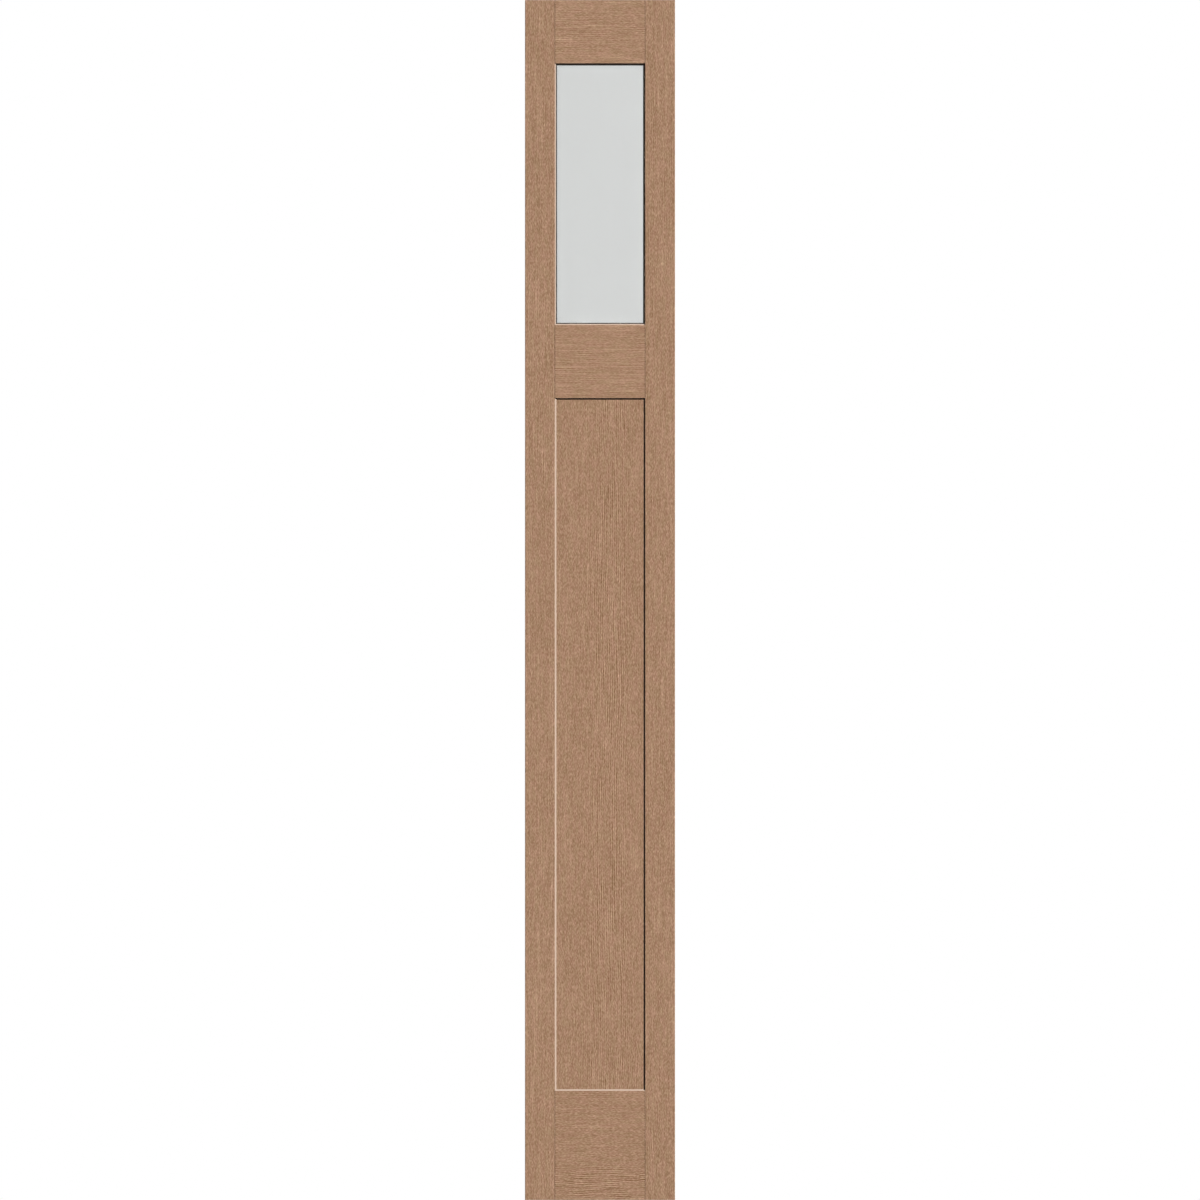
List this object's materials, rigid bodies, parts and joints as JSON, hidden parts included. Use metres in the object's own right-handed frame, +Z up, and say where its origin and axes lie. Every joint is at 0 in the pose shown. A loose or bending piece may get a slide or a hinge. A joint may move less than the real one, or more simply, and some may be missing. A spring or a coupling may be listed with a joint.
{
  "type": "sidelight",
  "caption": "Tall narrow fixed entrance sidelight in wood, with coped stiles and rails, a short obscure glazed light above and one long flat recessed panel below.",
  "frame": {"origin": "middle of the underside of the slab, at half its width and half its thickness", "axes": "+Z up the slab, +X to the right as seen from outside, +Y from the outside face towards the room, so the pictured outside face looks along -Y"},
  "size_m": [0.3048, 0.0444, 2.4384],
  "materials": {
    "face_veneer": "matte",
    "solid_timber": "matte",
    "stave_core": "matte",
    "clear_glass": "polished",
    "satin_glass": "satin",
    "spacer_metal": "satin",
    "corner_key": "matte",
    "edge_sealant": "matte",
    "glazing_tape": "matte",
    "setting_block": "matte"
  },
  "bodies": {
    "root": {"left_stile_core": "stave_core", "left_stile_outer_band": "solid_timber", "left_stile_inner_band": "solid_timber", "left_stile_outside_veneer": "face_veneer", "left_stile_inside_veneer": "face_veneer", "right_stile_core": "stave_core", "right_stile_outer_band": "solid_timber", "right_stile_inner_band": "solid_timber", "right_stile_outside_veneer": "face_veneer", "right_stile_inside_veneer": "face_veneer", "top_rail_core": "stave_core", "top_rail_upper_band": "solid_timber", "top_rail_lower_band": "solid_timber", "top_rail_outside_veneer": "face_veneer", "top_rail_inside_veneer": "face_veneer", "mid_rail_core": "stave_core", "mid_rail_upper_band": "solid_timber", "mid_rail_lower_band": "solid_timber", "mid_rail_outside_veneer": "face_veneer", "mid_rail_inside_veneer": "face_veneer", "bottom_rail_core": "stave_core", "bottom_rail_upper_band": "solid_timber", "bottom_rail_lower_band": "solid_timber", "bottom_rail_outside_veneer": "face_veneer", "bottom_rail_inside_veneer": "face_veneer", "panel_core": "stave_core", "panel_outside_veneer": "face_veneer", "panel_inside_veneer": "face_veneer", "outside_glass_pane": "clear_glass", "inside_glass_pane": "satin_glass", "glass_spacer_bars": "spacer_metal", "glass_spacer_corner_keys": "corner_key", "glass_edge_seal": "edge_sealant", "outside_glazing_tape": "glazing_tape", "inside_glazing_tape": "glazing_tape", "glass_setting_blocks": "setting_block", "left_glazing_bead": "solid_timber", "right_glazing_bead": "solid_timber", "top_glazing_bead": "solid_timber", "bottom_glazing_bead": "solid_timber"}
  },
  "joints": []
}
